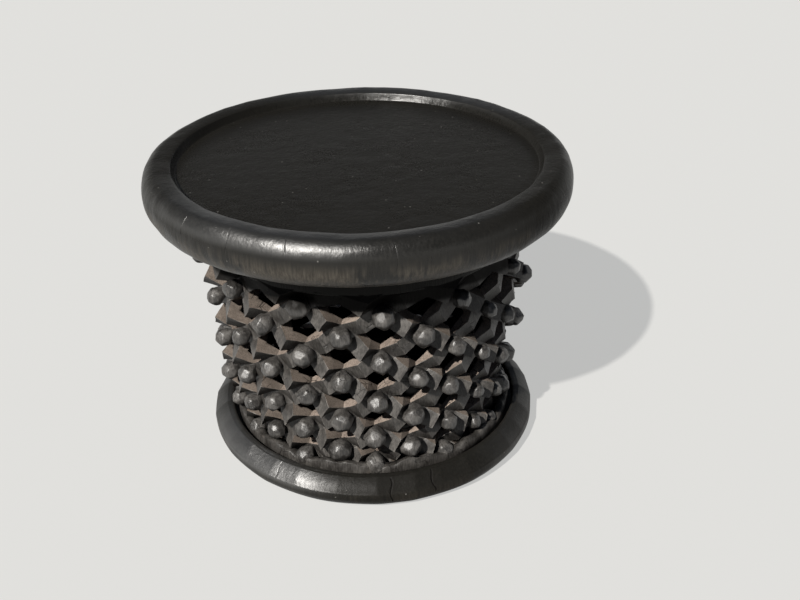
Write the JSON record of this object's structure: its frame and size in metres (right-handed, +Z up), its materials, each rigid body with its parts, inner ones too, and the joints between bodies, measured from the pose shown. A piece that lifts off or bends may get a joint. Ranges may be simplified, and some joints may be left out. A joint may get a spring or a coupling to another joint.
{
  "type": "tray coffee table",
  "caption": "Round dished tray with a rolled rim on a pierced drum of knobbed, crossing legs, standing on a thick base ring.",
  "frame": {"origin": "on the floor, straight below the centre of the tray", "axes": "+Z up, -Y towards the side seen in the picture, +X to that side's right"},
  "size_m": [0.66, 0.66, 0.482],
  "materials": {
    "ebonised_wood": "satin, stained black, worn on the edges",
    "lattice_wood": "matt, stained black, greyed on the cut faces"
  },
  "bodies": {
    "root": {"tray_board": "ebonised_wood", "tray_rim": "ebonised_wood", "collar": "ebonised_wood", "base_ring": "ebonised_wood", "crown_points": "lattice_wood", "spider_row_1": "lattice_wood", "spider_row_2": "lattice_wood", "spider_row_3": "lattice_wood", "spider_row_4": "lattice_wood", "spider_row_5": "lattice_wood", "spider_row_6": "lattice_wood", "spider_row_7": "lattice_wood", "spider_row_8": "lattice_wood", "spider_row_9": "lattice_wood"}
  },
  "joints": []
}
